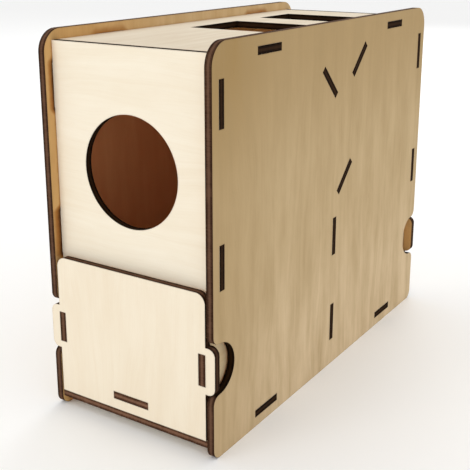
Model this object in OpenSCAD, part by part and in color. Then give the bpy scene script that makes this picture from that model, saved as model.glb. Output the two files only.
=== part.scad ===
// Laser-cut plywood drop-through box with two pull-out drawers.
// Frame: +Z up, X = width, Y = length (front toward -Y). Origin: middle of the footprint, at floor level.

/* [Overall] */
// Sheet thickness of every plate
sheet_t = 3; // [2.4:0.1:4]
// Outer width, over both side panels
box_w = 77; // [62:1:92]
// Outer length, front edge to rear edge of the side panels
box_l = 183; // [150:1:220]
// Outer height of the side panels
box_h = 151; // [125:1:185]
// How far the outer faces of the front, rear, top and bottom panels sit inside the side panels' edges
recess = 4; // [3.7:0.1:6]
// How far the bottom panel's front and rear edges sit inside the side panels' edges
bottom_in = 0.5; // [0:0.1:2]

/* [Side panels] */
// Radius of the upper corners
top_corner_r = 8.5; // [4:0.5:14]
// Radius of the lower corners
foot_corner_r = 4; // [2:0.5:8]
// Radius of the finger notches in the front and rear edges
notch_r = 9.9; // [8:0.1:12]
// Height of the notch centre above the floor
notch_z = 35.2; // [30:0.2:40]
// Distance of the notch centre from the edge, also the radius that rounds its mouth
notch_in = 3.5; // [3:0.1:5]

/* [Tabs] */
// Length of the upright tabs, the slanted tabs and the drawer bottoms' tabs
tall_tab = 16.7; // [12:0.1:18]
// Length of the tabs on the top and bottom panels
flat_tab = 16.3; // [12:0.1:20]
// Distance of the level plates' tabs from the box ends, to the tab centre
flat_tab_in = 36.3; // [30:0.1:44]
// Play on each side of a tab in its slot
tab_gap = 0.06; // [0.02:0.01:0.2]

/* [Front and rear panels] */
// Height of their lower edge above the floor
panel_z = 56.2; // [50:0.1:60]
// Distance of each tab from the panel's upper and lower edge
panel_tab_in = 8.4; // [5:0.1:10]
// Diameter of the round hole
hole_d = 42.4; // [34:0.1:50]

/* [Top openings] */
// Width of both openings
drop_w = 42; // [34:1:46]
// Length of the front opening
drop_front_l = 36; // [25:1:40]
// Distance of the front opening's front edge ahead of the box middle
drop_front_y = 21; // [18:1:30]
// Width of the bar between the openings
drop_bar = 20; // [14:1:24]
// Length of the rear opening
drop_rear_l = 27; // [18:1:30]

/* [Divider and deflectors] */
// Height of the centre divider
divider_h = 66; // [55:1:72]
// Distance of the divider's tabs from its upper and lower edge
divider_tab_in = 4.8; // [3:0.1:8]
// Length of each deflector along its slope
deflector_l = 26; // [22:0.5:30]
// Front deflector: distance of its middle ahead of the box middle
front_defl_y = 7.5; // [6:0.5:12]
// Front deflector: distance of its middle below the top panel
front_defl_drop = 17; // [14:0.2:24]
// Rear deflector: distance of its middle behind the box middle
rear_defl_y = 19.4; // [16:0.1:22]
// Rear deflector: play between its upper corner and the top panel
rear_defl_play = 0.15; // [0.1:0.05:3]
// Lower deflector: distance of its middle behind the box middle
lower_defl_y = 8.2; // [6:0.2:12]
// Lower deflector: height of its lower corner above the divider
lower_defl_play = 1.4; // [0.1:0.1:6]

/* [Drawers] */
// Play between the drawer and each side panel
drawer_play = 0.6; // [0.2:0.05:1]
// Play under the drawer
drawer_lift = 0.1; // [0.05:0.05:0.5]
// Height of the drawer face
face_h = 57; // [50:0.5:60]
// Radius of the face's upper corners
face_corner_r = 4; // [2:0.5:8]
// Height of the side ears
ear_h = 18.2; // [15:0.1:19]
// How far each ear reaches past the side panel
ear_out = 0.5; // [0:0.1:3]
// Radius of the ear corners
ear_corner_r = 3; // [1:0.25:3.5]
// Height of the ear centre above the floor
ear_z = 34.9; // [33:0.1:40]
// Length of the wall tabs that pass through the ears
wall_tab = 12.4; // [8:0.1:14]
// Drop of the drawer walls' upper edge below the front panel
wall_drop = 1; // [0.5:0.5:4]
// Height of the drawer bottom above the floor, to its underside
tray_z = 11.3; // [10:0.1:18]
// Space left between the drawer back and the centre divider
drawer_back_gap = 1.5; // [1:0.5:6]

/* [Hidden] */
$fn = 96;
t = sheet_t;
in_w = box_w - 2 * t;
mid = box_l / 2;
top_z = box_h - recess;
under_top_z = top_z - t;
floor_z = recess + t;
panel_h = top_z - panel_z;
panel_mid_z = panel_z + panel_h / 2;
tab_lo_z = panel_z + panel_tab_in + tall_tab / 2;
tab_hi_z = top_z - panel_tab_in - tall_tab / 2;
div_lo_z = floor_z + divider_tab_in + tall_tab / 2;
div_hi_z = floor_z + divider_h - divider_tab_in - tall_tab / 2;
drop_a = mid - drop_front_y;
drop_b = drop_a + drop_front_l + drop_bar;
drawer_w = in_w - 2 * drawer_play;
drawer_in_w = drawer_w - 2 * t;
drawer_l = mid - t / 2 - drawer_back_gap;
wall_z = floor_z + drawer_lift;
wall_h = panel_z - wall_drop - wall_z;
ear_w = box_w + 2 * ear_out;
defl_reach = (deflector_l + t) / 2 * sqrt(0.5);
rear_defl_drop = defl_reach + rear_defl_play;
lower_defl_rise = defl_reach + lower_defl_play;

// Plate lying level, its underside at height z
module level_plate(z) {
  translate([0, 0, z])
    linear_extrude(t) children();
}

// Plate standing across the box, its front face at y
module cross_plate(y) {
  translate([0, y + t, 0])
    rotate([90, 0, 0])
      linear_extrude(t) children();
}

// Plate standing along the box, its left face at x. The drawing's x runs along Y and its y along Z.
module long_plate(x) {
  translate([x, 0, 0])
    rotate([90, 0, 90])
      linear_extrude(t) children();
}

// Slot in a side panel for a tab whose middle is at y, z, of length l, leaning by a degrees
module side_slot(y, z, l, a) {
  translate([y, z])
    rotate(a)
      square([l + 2 * tab_gap, t + 2 * tab_gap], center = true);
}

// Finger notch in the front edge: a round pocket with a rounded mouth
module notch() {
  translate([notch_in, notch_z]) circle(notch_r);
  translate([-1, notch_z - notch_r])
    square([notch_in + 1, 2 * notch_r]);
  difference() {
    translate([-1, notch_z - notch_r - notch_in])
      square([notch_in + 1, 2 * (notch_r + notch_in)]);
    translate([notch_in, notch_z + notch_r + notch_in]) circle(notch_in);
    translate([notch_in, notch_z - notch_r - notch_in]) circle(notch_in);
  }
}

module side_outline() {
  translate([0, foot_corner_r])
    square([box_l, box_h - foot_corner_r - top_corner_r]);
  translate([foot_corner_r, 0])
    square([box_l - 2 * foot_corner_r, box_h / 2]);
  translate([top_corner_r, box_h / 2])
    square([box_l - 2 * top_corner_r, box_h / 2]);
  for (y = [foot_corner_r, box_l - foot_corner_r])
    translate([y, foot_corner_r]) circle(foot_corner_r);
  for (y = [top_corner_r, box_l - top_corner_r])
    translate([y, box_h - top_corner_r]) circle(top_corner_r);
}

module side_drawing() {
  difference() {
    side_outline();
    notch();
    translate([box_l, 0]) mirror([1, 0]) notch();
    for (y = [recess + t / 2, box_l - recess - t / 2]) {
      side_slot(y, tab_lo_z, tall_tab, 90);
      side_slot(y, tab_hi_z, tall_tab, 90);
    }
    side_slot(mid, div_lo_z, tall_tab, 90);
    side_slot(mid, div_hi_z, tall_tab, 90);
    for (y = [flat_tab_in, box_l - flat_tab_in]) {
      side_slot(y, top_z - t / 2, flat_tab, 0);
      side_slot(y, recess + t / 2, flat_tab, 0);
    }
    side_slot(mid - front_defl_y, under_top_z - front_defl_drop, tall_tab, -45);
    side_slot(mid + rear_defl_y, under_top_z - rear_defl_drop, tall_tab, 45);
    side_slot(mid + lower_defl_y, floor_z + divider_h + lower_defl_rise, tall_tab, 45);
  }
}

// Front or rear panel: plain plate with two tabs on each side
module end_drawing() {
  translate([-in_w / 2, panel_z]) square([in_w, panel_h]);
  for (z = [tab_lo_z, tab_hi_z])
    translate([-box_w / 2, z - tall_tab / 2]) square([box_w, tall_tab]);
}

// Level plate between two y values, with two tabs on each side
module level_drawing(y0, y1) {
  translate([-in_w / 2, y0]) square([in_w, y1 - y0]);
  for (y = [flat_tab_in, box_l - flat_tab_in])
    translate([-box_w / 2, y - flat_tab / 2]) square([box_w, flat_tab]);
}

// Slanted plate with one tab on each side
module deflector(y, z, a) {
  translate([0, y, z])
    rotate([a, 0, 0])
      translate([0, 0, -t / 2])
        linear_extrude(t) {
          square([in_w, deflector_l], center = true);
          square([box_w, tall_tab], center = true);
        }
}

module centred() {
  translate([0, -mid, 0]) children();
}

module left_side_panel() {
  color([0.86, 0.74, 0.55])
    centred() long_plate(-box_w / 2) side_drawing();
}

module right_side_panel() {
  color([0.86, 0.74, 0.55])
    centred() long_plate(in_w / 2) side_drawing();
}

module front_panel() {
  color([0.93, 0.87, 0.76])
    centred() cross_plate(recess)
      difference() {
        end_drawing();
        translate([0, panel_mid_z]) circle(hole_d / 2);
      }
}

module rear_panel() {
  color([0.93, 0.87, 0.76])
    centred() cross_plate(box_l - recess - t) end_drawing();
}

module top_panel() {
  color([0.9, 0.83, 0.71])
    centred() level_plate(under_top_z)
      difference() {
        level_drawing(recess + t, box_l - recess - t);
        translate([-drop_w / 2, drop_a]) square([drop_w, drop_front_l]);
        translate([-drop_w / 2, drop_b]) square([drop_w, drop_rear_l]);
      }
}

module bottom_panel() {
  color([0.9, 0.83, 0.71])
    centred() level_plate(recess) level_drawing(bottom_in, box_l - bottom_in);
}

module centre_divider() {
  color([0.82, 0.68, 0.48])
    centred() cross_plate(mid - t / 2) {
      translate([-in_w / 2, floor_z]) square([in_w, divider_h]);
      for (z = [div_lo_z, div_hi_z])
        translate([-box_w / 2, z - tall_tab / 2]) square([box_w, tall_tab]);
    }
}

module front_deflector() {
  color([0.82, 0.68, 0.48])
    centred() deflector(mid - front_defl_y, under_top_z - front_defl_drop, -45);
}

module rear_deflector() {
  color([0.82, 0.68, 0.48])
    centred() deflector(mid + rear_defl_y, under_top_z - rear_defl_drop, 45);
}

module lower_deflector() {
  color([0.82, 0.68, 0.48])
    centred() deflector(mid + lower_defl_y, floor_z + divider_h + lower_defl_rise, 45);
}

// Drawer face: plate with rounded upper corners and an ear on each side, slotted for the walls and bottom
module face_drawing() {
  difference() {
    union() {
      translate([-drawer_w / 2, wall_z])
        square([drawer_w, face_h - face_corner_r]);
      translate([-drawer_w / 2 + face_corner_r, wall_z + face_h / 2])
        square([drawer_w - 2 * face_corner_r, face_h / 2]);
      for (x = [-1, 1])
        translate([x * (drawer_w / 2 - face_corner_r), wall_z + face_h - face_corner_r])
          circle(face_corner_r);
      translate([-ear_w / 2, ear_z - ear_h / 2 + ear_corner_r])
        square([ear_w, ear_h - 2 * ear_corner_r]);
      translate([-ear_w / 2 + ear_corner_r, ear_z - ear_h / 2])
        square([ear_w - 2 * ear_corner_r, ear_h]);
      for (x = [-1, 1])
        for (z = [-1, 1])
          translate([x * (ear_w / 2 - ear_corner_r), ear_z + z * (ear_h / 2 - ear_corner_r)])
            circle(ear_corner_r);
    }
    drawer_slots();
  }
}

module drawer_slots() {
  for (x = [-1, 1])
    translate([x * (drawer_w - t) / 2, ear_z])
      square([t + 2 * tab_gap, wall_tab + 2 * tab_gap], center = true);
  translate([0, tray_z + t / 2])
    square([tall_tab + 2 * tab_gap, t + 2 * tab_gap], center = true);
}

// Drawer wall: long plate with an end tab in the face and one in the back, slotted for the bottom
module wall_drawing() {
  difference() {
    union() {
      translate([t, wall_z]) square([drawer_l - 2 * t, wall_h]);
      translate([0, ear_z - wall_tab / 2]) square([drawer_l, wall_tab]);
    }
    translate([drawer_l / 2, tray_z + t / 2])
      square([tall_tab + 2 * tab_gap, t + 2 * tab_gap], center = true);
  }
}

module tray_drawing() {
  translate([-drawer_in_w / 2, t]) square([drawer_in_w, drawer_l - 2 * t]);
  translate([-tall_tab / 2, 0]) square([tall_tab, drawer_l]);
  translate([-drawer_w / 2, (drawer_l - tall_tab) / 2]) square([drawer_w, tall_tab]);
}

// Drawer back: its slots for the wall tabs are open notches at the plate's side edges
module back_drawing() {
  difference() {
    translate([-drawer_w / 2, wall_z]) square([drawer_w, wall_h]);
    for (x = [-1, 1])
      translate([x * drawer_w / 2, ear_z])
        square([2 * (t + tab_gap), wall_tab + 2 * tab_gap], center = true);
    translate([0, tray_z + t / 2])
      square([tall_tab + 2 * tab_gap, t + 2 * tab_gap], center = true);
  }
}

// Turns a front drawer piece into the matching rear drawer piece
module to_rear() {
  mirror([0, 1, 0]) children();
}

module front_drawer_face() {
  color([0.93, 0.86, 0.74])
    centred() cross_plate(0) face_drawing();
}

module front_drawer_left_wall() {
  color([0.88, 0.78, 0.6])
    centred() long_plate(-drawer_w / 2) wall_drawing();
}

module front_drawer_right_wall() {
  color([0.88, 0.78, 0.6])
    centred() long_plate(drawer_in_w / 2) wall_drawing();
}

module front_drawer_bottom() {
  color([0.84, 0.72, 0.53])
    centred() level_plate(tray_z) tray_drawing();
}

module front_drawer_back() {
  color([0.88, 0.78, 0.6])
    centred() cross_plate(drawer_l - t) back_drawing();
}

module rear_drawer_face() {
  color([0.93, 0.86, 0.74])
    to_rear() centred() cross_plate(0) face_drawing();
}

module rear_drawer_left_wall() {
  color([0.88, 0.78, 0.6])
    to_rear() centred() long_plate(-drawer_w / 2) wall_drawing();
}

module rear_drawer_right_wall() {
  color([0.88, 0.78, 0.6])
    to_rear() centred() long_plate(drawer_in_w / 2) wall_drawing();
}

module rear_drawer_bottom() {
  color([0.84, 0.72, 0.53])
    to_rear() centred() level_plate(tray_z) tray_drawing();
}

module rear_drawer_back() {
  color([0.88, 0.78, 0.6])
    to_rear() centred() cross_plate(drawer_l - t) back_drawing();
}

left_side_panel();
right_side_panel();
front_panel();
rear_panel();
top_panel();
bottom_panel();
centre_divider();
front_deflector();
rear_deflector();
lower_deflector();
front_drawer_face();
front_drawer_left_wall();
front_drawer_right_wall();
front_drawer_bottom();
front_drawer_back();
rear_drawer_face();
rear_drawer_left_wall();
rear_drawer_right_wall();
rear_drawer_bottom();
rear_drawer_back();
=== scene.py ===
import bpy
import math
from mathutils import Matrix, Vector


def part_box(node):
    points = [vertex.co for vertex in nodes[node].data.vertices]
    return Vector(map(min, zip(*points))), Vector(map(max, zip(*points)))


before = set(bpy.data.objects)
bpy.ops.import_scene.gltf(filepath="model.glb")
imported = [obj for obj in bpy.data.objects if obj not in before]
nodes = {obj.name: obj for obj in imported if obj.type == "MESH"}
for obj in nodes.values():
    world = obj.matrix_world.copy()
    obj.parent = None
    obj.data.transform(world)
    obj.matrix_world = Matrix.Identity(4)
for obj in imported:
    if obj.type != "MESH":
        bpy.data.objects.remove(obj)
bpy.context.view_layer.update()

# ---------------------------------------------------------------------------
# Camera: above and to the right of the end with the round hole, looking
# along the length of the box.
# ---------------------------------------------------------------------------
camera_at = Vector((0.19722, -0.32174, 0.18251))
turn, tilt, roll = (math.radians(v) for v in (33.054, 15.256, 0.026))
lens_per_sensor = 1.86638
look = Vector((-math.sin(turn) * math.cos(tilt), math.cos(turn) * math.cos(tilt), -math.sin(tilt)))
camera_data = bpy.data.cameras.new("camera")
camera_data.lens = lens_per_sensor * camera_data.sensor_width
camera_data.shift_y = -0.12
camera = bpy.data.objects.new("camera", camera_data)
bpy.context.collection.objects.link(camera)
camera.location = camera_at
aim = look.to_track_quat("-Z", "Y").to_matrix()
camera.rotation_euler = (aim @ Matrix.Rotation(roll, 3, "Z")).to_euler()
bpy.context.scene.camera = camera

# ---------------------------------------------------------------------------
# Studio: a pale seamless floor, a broad soft key from the front left that
# lights the hole end, a weak fill on the long side, a soft light from behind
# and an even pale surround.
# ---------------------------------------------------------------------------
floor_pale = (0.97, 0.97, 0.965)
surround_strength = 0.93

bpy.ops.mesh.primitive_plane_add(size=8, location=(0, 0, 0))
floor = bpy.context.object
floor.name = "studio_floor"
floor_paint = bpy.data.materials.new("studio_floor_paint")
floor_paint.use_nodes = True
floor_shader = floor_paint.node_tree.nodes["Principled BSDF"]
floor_shader.inputs["Base Color"].default_value = (*floor_pale, 1)
floor_shader.inputs["Roughness"].default_value = 0.9
floor.data.materials.append(floor_paint)


def soft_light(name, place, aim_at, size, watts, tint=(1, 1, 1)):
    data = bpy.data.lights.new(name, "AREA")
    data.shape = "DISK"
    data.size = size
    data.energy = watts
    data.color = tint
    lamp = bpy.data.objects.new(name, data)
    bpy.context.collection.objects.link(lamp)
    lamp.location = place
    lamp.rotation_euler = (Vector(aim_at) - Vector(place)).to_track_quat("-Z", "Y").to_euler()


soft_light("key_light", (-0.55, -1.25, 0.75), (0, -0.03, 0.07), 0.7, 2.5, (1.0, 0.98, 0.95))
soft_light("fill_light", (0.75, 0.22, 0.06), (0.04, 0.03, 0.05), 0.5, 0.3)
soft_light("back_light", (-0.3, 1.2, 0.8), (0, 0, 0.07), 0.8, 4.0)
surround = bpy.data.worlds.new("surround")
surround.use_nodes = True
surround.node_tree.nodes["Background"].inputs["Color"].default_value = (1.0, 1.0, 1.0, 1)
surround.node_tree.nodes["Background"].inputs["Strength"].default_value = surround_strength
bpy.context.scene.world = surround
bpy.context.scene.view_settings.view_transform = "Standard"

# ---------------------------------------------------------------------------
# Side panels: the two tallest plates, cut by laser from three-ply sheet. The
# grain runs upright, and the veneer is darker than the end panels', partly as painted shade.
# Every cut edge is charred and shows the plies; the walls inside the outline are blacker,
# partly as painted shade. The outer face carries painted shade toward the top and front and
# painted floor light toward the foot, and the inner face carries painted warm bounce light
# inside the case and is scorched where other plates join it.
# ---------------------------------------------------------------------------
side_low, side_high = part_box("right_side_panel")
sheet = side_high.x - side_low.x
recess = 0.004
case_end = side_high.y - recess
case_top = side_high.z - recess


def new_group(name, takes, gives):
    """Starts a node group. Returns it with the outputs of its input node and with its output node."""
    group = bpy.data.node_groups.new(name, "ShaderNodeTree")
    for label, kind in takes:
        group.interface.new_socket(label, in_out="INPUT", socket_type=kind)
    for label, kind in gives:
        group.interface.new_socket(label, in_out="OUTPUT", socket_type=kind)
    return group, group.nodes.new("NodeGroupInput").outputs, group.nodes.new("NodeGroupOutput")


def put(tree, kind, values=None, **settings):
    """Adds a node, sets its options, and links or fills its inputs by name or number."""
    made = tree.nodes.new(kind)
    for key, value in settings.items():
        setattr(made, key, value)
    for key, value in (values or {}).items():
        if isinstance(value, bpy.types.NodeSocket):
            tree.links.new(value, made.inputs[key])
        else:
            made.inputs[key].default_value = value
    return made


def maths(tree, operation, a, b=None, c=None, clamp=False):
    given = {i: v for i, v in enumerate((a, b, c)) if v is not None}
    return put(tree, "ShaderNodeMath", given, operation=operation, use_clamp=clamp).outputs[0]


def split(tree, vector):
    return put(tree, "ShaderNodeSeparateXYZ", {0: vector}).outputs


def stretch(tree, vector, by):
    return put(tree, "ShaderNodeVectorMath", {0: vector, 1: by}, operation="MULTIPLY").outputs[0]


def noise(tree, vector, scale, detail=2.0, rough=0.5):
    return put(
        tree, "ShaderNodeTexNoise",
        {"Vector": vector, "Scale": scale, "Detail": detail, "Roughness": rough},
    ).outputs["Fac"]


def ramp(tree, value, low, high, to_low=0.0, to_high=1.0):
    """Moves a value from one range to another, held inside it, with soft ends."""
    return put(
        tree, "ShaderNodeMapRange",
        {"Value": value, "From Min": low, "From Max": high, "To Min": to_low, "To Max": to_high},
        interpolation_type="SMOOTHSTEP",
    ).outputs["Result"]


def blend_colour(tree, factor, a, b):
    """Mixes two colours. A colour is a socket or a plain (red, green, blue)."""
    mix = tree.nodes.new("ShaderNodeMix")
    mix.data_type = "RGBA"
    for socket, value in ((mix.inputs[0], factor), (mix.inputs[6], a), (mix.inputs[7], b)):
        if isinstance(value, bpy.types.NodeSocket):
            tree.links.new(value, socket)
        else:
            socket.default_value = (*value, 1) if isinstance(value, tuple) else value
    return mix.outputs[2]


# Veneer grain. Board is a place on the plate in metres: x across the grain, y along it, z through
# the sheet. Figure, Fibre and Cloud say how strongly rings, fibres and patches darken it.
veneer, told, out = new_group(
    "veneer_grain",
    [("Board", "NodeSocketVector"), ("Pale", "NodeSocketColor"), ("Dark", "NodeSocketColor"),
     ("Figure", "NodeSocketFloat"), ("Fibre", "NodeSocketFloat"), ("Cloud", "NodeSocketFloat")],
    [("Color", "NodeSocketColor"), ("Roughness", "NodeSocketFloat"), ("Height", "NodeSocketFloat")],
)
board = told["Board"]
sway = noise(veneer, stretch(veneer, board, (38, 9, 0)), 1.0)
sway = maths(veneer, "MULTIPLY", maths(veneer, "SUBTRACT", sway, 0.5), 0.020)
straight = split(veneer, board)
bent = put(veneer, "ShaderNodeCombineXYZ", {
    0: maths(veneer, "ADD", straight[0], sway),
    1: straight[1],
    2: straight[2],
}).outputs[0]
rings = noise(veneer, stretch(veneer, bent, (260, 3.5, 0)), 1.0, 3.0, 0.55)
fibres = noise(veneer, stretch(veneer, bent, (2100, 42, 0)), 1.0, 3.0, 0.6)
pores = ramp(veneer, noise(veneer, stretch(veneer, bent, (2600, 130, 0)), 1.0, 1.0), 0.66, 0.76)
patches = noise(veneer, stretch(veneer, board, (95, 22, 0)), 1.0, 4.0, 0.6)
fine = maths(veneer, "MULTIPLY", ramp(veneer, fibres, 0.35, 0.7), 0.42)
fine = maths(veneer, "MULTIPLY_ADD", pores, 0.55, fine)
shade = maths(veneer, "MULTIPLY", ramp(veneer, rings, 0.36, 0.68), told["Figure"])
shade = maths(veneer, "MULTIPLY_ADD", ramp(veneer, patches, 0.3, 0.72), told["Cloud"], shade)
shade = maths(veneer, "MULTIPLY_ADD", fine, told["Fibre"], shade, clamp=True)
relief = maths(veneer, "MULTIPLY", maths(veneer, "SUBTRACT", fibres, pores), 0.5)
veneer.links.new(blend_colour(veneer, shade, told["Pale"], told["Dark"]), out.inputs["Color"])
veneer.links.new(ramp(veneer, fibres, 0.2, 0.8, 0.58, 0.72), out.inputs["Roughness"])
veneer.links.new(relief, out.inputs["Height"])

# Charred cut. Depth goes from -0.5 on one face of the sheet to 0.5 on the other, and Burn from
# brown to black.
brown_low, brown_high = (0.048, 0.020, 0.010), (0.205, 0.105, 0.064)
black_low, black_high = (0.005, 0.002, 0.0008), (0.024, 0.011, 0.004)
char, told, out = new_group(
    "charred_cut",
    [("Board", "NodeSocketVector"), ("Depth", "NodeSocketFloat"), ("Burn", "NodeSocketFloat")],
    [("Color", "NodeSocketColor"), ("Roughness", "NodeSocketFloat"), ("Height", "NodeSocketFloat")],
)
board = told["Board"]
waver = maths(char, "SUBTRACT", noise(char, board, 420, 3.0), 0.5)
off_mid = maths(char, "ABSOLUTE", maths(char, "MULTIPLY_ADD", waver, 0.10, told["Depth"]))
core_band = maths(char, "SUBTRACT", 1.0, ramp(char, off_mid, 0.13, 0.22))
to_glue = maths(char, "ABSOLUTE", maths(char, "SUBTRACT", off_mid, 0.2))
glue_line = maths(char, "MULTIPLY", maths(char, "SUBTRACT", 1.0, ramp(char, to_glue, 0.0, 0.035)), 0.40)
rim = maths(char, "MULTIPLY", ramp(char, off_mid, 0.30, 0.47), 0.6)
beam_marks = noise(char, stretch(char, board, (3600, 3600, 240)), 1.0, 2.0, 0.6)
blotches = noise(char, board, 190, 3.0, 0.6)
tone = maths(char, "MULTIPLY", core_band, 0.62)
tone = maths(char, "MULTIPLY_ADD", ramp(char, beam_marks, 0.3, 0.7), 0.35, tone)
tone = maths(char, "MULTIPLY_ADD", ramp(char, blotches, 0.35, 0.7), 0.30, tone)
tone = maths(char, "SUBTRACT", tone, glue_line)
tone = maths(char, "SUBTRACT", tone, rim, clamp=True)
brown_cut = blend_colour(char, tone, brown_low, brown_high)
black_cut = blend_colour(char, tone, black_low, black_high)
relief = maths(char, "SUBTRACT", maths(char, "MULTIPLY", beam_marks, 0.6), glue_line)
char.links.new(blend_colour(char, told["Burn"], brown_cut, black_cut), out.inputs["Color"])
char.links.new(ramp(char, blotches, 0.3, 0.7, 0.80, 0.95), out.inputs["Roughness"])
char.links.new(relief, out.inputs["Height"])

# Soot. Nearness is 1 at a cut edge and 0 away from it, and Stain says how much smoke lies on
# the face.
soot_brown = (0.13, 0.062, 0.03)
soot, told, out = new_group(
    "soot_stain",
    [("Board", "NodeSocketVector"), ("Nearness", "NodeSocketFloat"), ("Amount", "NodeSocketFloat")],
    [("Stain", "NodeSocketFloat")],
)
puffs = ramp(soot, noise(soot, told["Board"], 260, 3.0, 0.6), 0.25, 0.75, 0.35, 1.0)
stain = maths(soot, "MULTIPLY", told["Nearness"], puffs)
soot.links.new(maths(soot, "MULTIPLY", stain, told["Amount"], clamp=True), out.inputs["Stain"])

# Joint scorch and painted light. Place is a point on a side panel's inner face. The first output marks
# the part inside the case, which takes painted warm bounce light. Scorch is the burnt line along the
# joint outside it, widest beside the slots; near the lower slot it reaches further as painted shade.
tall_slots_z, tall_slots_apart = 0.1016, 0.0573
flat_slots_y = 0.0552
joint, told, out = new_group(
    "joint_scorch_and_painted_light",
    [("Place", "NodeSocketVector")],
    [("Inside_painted_bounce", "NodeSocketFloat"), ("Scorch", "NodeSocketFloat")],
)
spot = split(joint, told["Place"])
from_middle = maths(joint, "ABSOLUTE", spot[1])
past_top = maths(joint, "SUBTRACT", spot[2], case_top)
past = maths(joint, "MAXIMUM", maths(joint, "SUBTRACT", from_middle, case_end), past_top)
smudge = maths(joint, "SUBTRACT", noise(joint, told["Place"], 330, 3.0, 0.6), 0.5)
past = maths(joint, "MULTIPLY_ADD", smudge, 0.0012, past)
to_pair = maths(joint, "ABSOLUTE", maths(joint, "SUBTRACT", spot[2], tall_slots_z))
to_slot = maths(joint, "ABSOLUTE", maths(joint, "SUBTRACT", to_pair, tall_slots_apart / 2))
beside_tall = ramp(joint, to_slot, 0.0118, 0.0085)
to_slot = maths(joint, "ABSOLUTE", maths(joint, "SUBTRACT", from_middle, flat_slots_y))
beside_flat = ramp(joint, to_slot, 0.0125, 0.0075)
on_top = maths(joint, "GREATER_THAN", past_top, 0.0)
beside = put(joint, "ShaderNodeMix", {0: on_top, 2: beside_tall, 3: beside_flat}).outputs[0]
# Near the lower slot the scorch reaches further across the strip; this extra reach is painted shade for
# the strip that sits deeper in shadow above the drawer.
low_slot_painted_shade = ramp(joint, spot[2], 0.100, 0.085)
reach = maths(joint, "MULTIPLY_ADD", low_slot_painted_shade, 0.0014, 0.0024)
reach = maths(joint, "MULTIPLY_ADD", beside, reach, 0.0010)
halo = maths(joint, "SUBTRACT", 1.0, maths(joint, "DIVIDE", past, reach), clamp=True)
halo = maths(joint, "MULTIPLY", halo, maths(joint, "GREATER_THAN", past, -0.0005))
line = maths(joint, "MULTIPLY", halo, maths(joint, "MULTIPLY_ADD", beside, 0.6, 0.4))
line = maths(joint, "MULTIPLY", line, maths(joint, "MULTIPLY_ADD", on_top, -0.38, 1.0))
joint.links.new(ramp(joint, past, 0.0001, -0.0010), out.inputs["Inside_painted_bounce"])
joint.links.new(line, out.inputs["Scorch"])


def plywood(node, across, along, through, face, figure, fibre, cloud, burn,
            end_burn_and_shade=None, back=None, slide=(0, 0)):
    """Plywood for one plate: veneer on both faces, charred plies on every cut edge.

    across, along and through are the plate's own directions. face is its (pale, dark) veneer, and
    back the same for the side that through leaves. burn is how black the cut edges are, and the end
    burn how black those that face left or right are, partly as painted shade for edges turned
    sideways to the key light. slide moves the grain, so that no two plates are alike.
    """
    low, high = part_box(node)
    material = bpy.data.materials.new(node + "_ply")
    material.use_nodes = True
    tree = material.node_tree
    shader = tree.nodes["Principled BSDF"]
    where = put(tree, "ShaderNodeTexCoord").outputs
    middle = (low + high) / 2
    local = put(
        tree, "ShaderNodeVectorMath", {0: where["Object"], 1: middle}, operation="SUBTRACT",
    ).outputs[0]

    def along_axis(vector, axis):
        dot = put(tree, "ShaderNodeVectorMath", {0: vector, 1: axis}, operation="DOT_PRODUCT")
        return dot.outputs["Value"]

    depth = along_axis(local, through)
    place = put(tree, "ShaderNodeCombineXYZ", {
        0: maths(tree, "ADD", along_axis(local, across), slide[0]),
        1: maths(tree, "ADD", along_axis(local, along), slide[1]),
        2: depth,
    }).outputs[0]
    facing = along_axis(where["Normal"], through)
    skin = put(
        tree, "ShaderNodeGroup",
        {"Board": place, "Pale": (*face[0], 1), "Dark": (*face[1], 1),
         "Figure": figure, "Fibre": fibre, "Cloud": cloud},
        node_tree=veneer, name="skin",
    )
    if back:
        is_back = maths(tree, "LESS_THAN", facing, 0.0)
        tree.links.new(blend_colour(tree, is_back, face[0], back[0]), skin.inputs["Pale"])
        tree.links.new(blend_colour(tree, is_back, face[1], back[1]), skin.inputs["Dark"])
    cut = put(
        tree, "ShaderNodeGroup",
        {"Board": place, "Depth": maths(tree, "DIVIDE", depth, sheet), "Burn": burn},
        node_tree=char, name="cut",
    )
    # Cut edges that face left or right get their own burn: partly char and partly painted shade for
    # edges turned sideways to the key light.
    if end_burn_and_shade is not None:
        sideways = maths(tree, "ABSOLUTE", split(tree, where["Normal"])[0])
        tree.links.new(ramp(tree, sideways, 0.5, 0.8, burn, end_burn_and_shade), cut.inputs["Burn"])
    rounded = put(tree, "ShaderNodeBevel", {"Radius": 0.0011}, samples=6).outputs[0]
    flat = put(tree, "ShaderNodeNewGeometry").outputs["True Normal"]
    nearness = ramp(tree, along_axis(rounded, flat), 1.0, 0.86)
    smoke = put(
        tree, "ShaderNodeGroup", {"Board": place, "Nearness": nearness, "Amount": 0.3}, node_tree=soot,
    )

    is_cut = maths(tree, "LESS_THAN", maths(tree, "ABSOLUTE", facing), 0.6)
    sooty = blend_colour(tree, smoke.outputs["Stain"], skin.outputs["Color"], soot_brown)
    colour = blend_colour(tree, is_cut, sooty, cut.outputs["Color"])
    tree.links.new(colour, shader.inputs["Base Color"])
    rough, height = (
        put(tree, "ShaderNodeMix", {0: is_cut, 2: skin.outputs[name], 3: cut.outputs[name]}).outputs[0]
        for name in ("Roughness", "Height")
    )
    tree.links.new(rough, shader.inputs["Roughness"])
    bump = put(tree, "ShaderNodeBump", {"Strength": 0.5, "Distance": 0.00012, "Height": height})
    tree.links.new(bump.outputs[0], shader.inputs["Normal"])
    shader.inputs["Specular IOR Level"].default_value = 0.04
    return material


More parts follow.
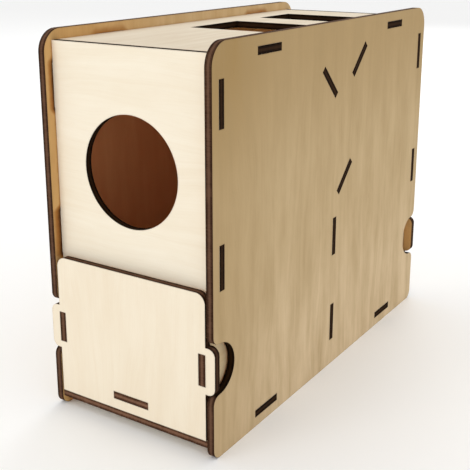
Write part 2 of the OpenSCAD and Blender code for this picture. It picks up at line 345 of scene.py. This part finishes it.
def face_with(node, material):
    """Gives a CAD plate its finish, and takes the razor edge off its corners."""
    plate = nodes[node]
    plate.data.materials.clear()
    plate.data.materials.append(material)
    weld = plate.modifiers.new("join_faces", "WELD")
    weld.merge_threshold = 0.00001
    ease = plate.modifiers.new("eased_edges", "BEVEL")
    ease.width = 0.00012
    ease.segments = 2
    ease.limit_method = "ANGLE"
    ease.angle_limit = math.radians(40)
    ease.harden_normals = True


# The side veneer is darker and warmer than the cream of the front and rear panels: partly the veneer's
# own tone and partly painted shade, so that the long sides stay darker than the lit end.
side_tan_and_painted_shade, side_brown_and_painted_shade = (0.57, 0.425, 0.243), (0.39, 0.272, 0.132)
# Painted shade for the top and front of the outer face, and painted light from the floor for its foot.
side_painted_shade_tone, side_painted_floor_light = (0.368, 0.238, 0.097), (0.71, 0.55, 0.352)
strip_tan, strip_brown = (0.66, 0.41, 0.17), (0.48, 0.26, 0.085)
strip_pale, strip_pale_brown = (0.67, 0.485, 0.265), (0.50, 0.32, 0.14)
# The inner colours are painted warm bounce light: the saturated orange stands in for light reflected
# between the wooden walls inside the shaded case.
inner_painted_bounce_tan, inner_painted_bounce_brown = (0.86, 0.395, 0.17), (0.76, 0.31, 0.12)
singed_brown = (0.34, 0.125, 0.024)
burnt_pale, burnt_dark = (0.085, 0.030, 0.008), (0.050, 0.018, 0.007)
outline_burn = 0.42
for node, outward, shift_grain in (("left_side_panel", -1, 0.3), ("right_side_panel", 1, 0.0)):
    side_ply = plywood(
        node, (0, 1, 0), (0, 0, 1), (outward, 0, 0), (side_tan_and_painted_shade, side_brown_and_painted_shade),
        figure=0.2, fibre=0.3, cloud=0.4, burn=outline_burn, slide=(shift_grain, 0.1),
    )
    tree = side_ply.node_tree
    where = put(tree, "ShaderNodeTexCoord").outputs
    spot = split(tree, where["Object"])
    facing = maths(tree, "MULTIPLY", split(tree, where["Normal"])[0], outward)
    is_back = maths(tree, "LESS_THAN", facing, 0.0)

    # The outer veneer is darker and yellower toward the top and the front as painted shade, and paler
    # toward the foot as painted light bounced from the floor.
    painted_shade_top = ramp(tree, spot[2], 0.085, 0.150, 0.0, 0.62)
    painted_shade_top_front = maths(tree, "ADD", painted_shade_top, ramp(tree, spot[1], -0.04, -0.09, 0.0, 0.42))
    face_pale = blend_colour(tree, ramp(tree, spot[2], 0.085, 0.0), side_tan_and_painted_shade, side_painted_floor_light)
    face_pale = blend_colour(tree, painted_shade_top_front, face_pale, side_painted_shade_tone)

    # The inner face is orange at the front and paler toward the rear, redder inside the case as painted
    # warm bounce light, and scorched along the joints.
    seam = put(tree, "ShaderNodeGroup", {0: where["Object"]}, node_tree=joint).outputs
    to_rear = ramp(tree, spot[1], -0.08, 0.0)
    back_pale = blend_colour(tree, to_rear, strip_tan, strip_pale)
    back_dark = blend_colour(tree, to_rear, strip_brown, strip_pale_brown)
    back_pale = blend_colour(tree, seam["Inside_painted_bounce"], back_pale, inner_painted_bounce_tan)
    back_dark = blend_colour(tree, seam["Inside_painted_bounce"], back_dark, inner_painted_bounce_brown)
    singed = ramp(tree, seam["Scorch"], 0.0, 0.6, 0.0, 0.95)
    burnt = ramp(tree, seam["Scorch"], 0.5, 0.95)
    back_pale = blend_colour(tree, singed, back_pale, singed_brown)
    back_pale = blend_colour(tree, burnt, back_pale, burnt_pale)
    back_dark = blend_colour(tree, burnt, back_dark, burnt_dark)
    skin = tree.nodes["skin"].inputs
    tree.links.new(blend_colour(tree, is_back, face_pale, back_pale), skin["Pale"])
    tree.links.new(blend_colour(tree, is_back, side_brown_and_painted_shade, back_dark), skin["Dark"])

    # The notch walls and slots, inside the outline, are blacker than the outline itself: partly char
    # and partly painted shade for walls that lie in shadow.
    inner_cut_char_and_shade = ramp(tree, maths(tree, "ABSOLUTE", spot[1]), 0.0905, 0.0885, outline_burn, 1.0)
    below_top = ramp(tree, spot[2], 0.149, 0.147)
    above_foot = ramp(tree, spot[2], 0.001, 0.003)
    inner_cut_char_and_shade = maths(tree, "MULTIPLY", inner_cut_char_and_shade, maths(tree, "MULTIPLY", below_top, above_foot))
    tree.links.new(maths(tree, "MAXIMUM", inner_cut_char_and_shade, outline_burn), tree.nodes["cut"].inputs["Burn"])
    face_with(node, side_ply)

# ---------------------------------------------------------------------------
# Front and rear panels: pale plates set back between the sides and held by
# two tabs at each side. Their grain runs level. The front one has the round
# hole, cut in one pass, so its wall is charred.
# ---------------------------------------------------------------------------
cream, cream_shade = (0.93, 0.85, 0.70), (0.80, 0.67, 0.48)
for node, outward, shift_grain in (("front_panel", -1, 0.71), ("rear_panel", 1, 0.45)):
    # The panels' inner faces take the same painted warm bounce light as the sides' inner faces.
    panel_ply = plywood(
        node, (0, 0, 1), (1, 0, 0), (0, outward, 0), (cream, cream_shade),
        figure=0.16, fibre=0.2, cloud=0.22, burn=0.95, back=(inner_painted_bounce_tan, inner_painted_bounce_brown),
        slide=(shift_grain, 0.2),
    )
    face_with(node, panel_ply)

# ---------------------------------------------------------------------------
# Top and bottom panels: level plates that close the box, tabbed into the
# sides. The top one has the two drop openings with a bar between them.
# ---------------------------------------------------------------------------
top_cream, top_shade = (0.755, 0.665, 0.525), (0.61, 0.485, 0.335)
lining, lining_shade = (0.93, 0.80, 0.58), (0.74, 0.56, 0.33)
for node, outward, shift_grain, burn in (("top_panel", 1, 0.15, 0.95), ("bottom_panel", -1, 0.9, 0.0)):
    level_ply = plywood(
        node, (1, 0, 0), (0, 1, 0), (0, 0, outward), (top_cream, top_shade),
        figure=0.2, fibre=0.25, cloud=0.3, burn=burn, end_burn_and_shade=0.95, back=(lining, lining_shade),
        slide=(shift_grain, 0.4),
    )
    face_with(node, level_ply)

# ---------------------------------------------------------------------------
# Divider and deflectors: plain plates across the inside. The three deflectors
# lean at 45 degrees, the front one down toward the rear, the others forward.
# ---------------------------------------------------------------------------
divider_tan, divider_brown = (0.95, 0.78, 0.54), (0.74, 0.46, 0.21)
lean = math.sqrt(0.5)
inside_plates = (
    ("centre_divider", (1, 0, 0), (0, 0, 1), (0, 1, 0)),
    ("front_deflector", (0, lean, -lean), (1, 0, 0), (0, lean, lean)),
    ("rear_deflector", (0, lean, lean), (1, 0, 0), (0, -lean, lean)),
    ("lower_deflector", (0, lean, lean), (1, 0, 0), (0, -lean, lean)),
)
for count, (node, across, along, through) in enumerate(inside_plates):
    inside_ply = plywood(
        node, across, along, through, (divider_tan, divider_brown),
        figure=0.35, fibre=0.35, cloud=0.4, burn=0.95, slide=(0.37 * count, 0.21 * count),
    )
    face_with(node, inside_ply)

# ---------------------------------------------------------------------------
# Drawers: each is a face plate with two finger ears, two walls, a bottom and
# a back, tabbed together. They slide out on the bottom panel.
# ---------------------------------------------------------------------------
face_cream, face_shade = (0.91, 0.815, 0.655), (0.77, 0.62, 0.43)
# The back of each drawer face is orange as painted warm bounce light, reflected onto it from the tan
# walls beside it.
drawer_back_painted_bounce, drawer_back_dark_painted_bounce = (0.64, 0.37, 0.145), (0.50, 0.26, 0.085)
box_tan, box_brown = (0.66, 0.515, 0.32), (0.50, 0.35, 0.18)
for drawer, outward, shift_grain in (("front_drawer", -1, 0.0), ("rear_drawer", 1, 1.3)):
    face_ply = plywood(
        drawer + "_face", (1, 0, 0), (0, 0, 1), (0, outward, 0), (face_cream, face_shade),
        figure=0.10, fibre=0.2, cloud=0.22, burn=0.45, end_burn_and_shade=0.8, back=(drawer_back_painted_bounce, drawer_back_dark_painted_bounce),
        slide=(shift_grain, 0),
    )
    face_with(drawer + "_face", face_ply)
    box_plates = (
        ("_left_wall", (0, 0, 1), (0, 1, 0), (-1, 0, 0), 0.3, 0.3),
        ("_right_wall", (0, 0, 1), (0, 1, 0), (1, 0, 0), 0.3, 0.3),
        ("_bottom", (1, 0, 0), (0, 1, 0), (0, 0, 1), 0.35, 0.0),
        ("_back", (0, 0, 1), (1, 0, 0), (0, -outward, 0), 0.3, 0.4),
    )
    for count, (part, across, along, through, figure, burn) in enumerate(box_plates, 1):
        box_ply = plywood(
            drawer + part, across, along, through, (box_tan, box_brown),
            figure=figure, fibre=0.2, cloud=0.22, burn=burn,
            slide=(shift_grain + 0.17 * count, 0.29 * count),
        )
        face_with(drawer + part, box_ply)
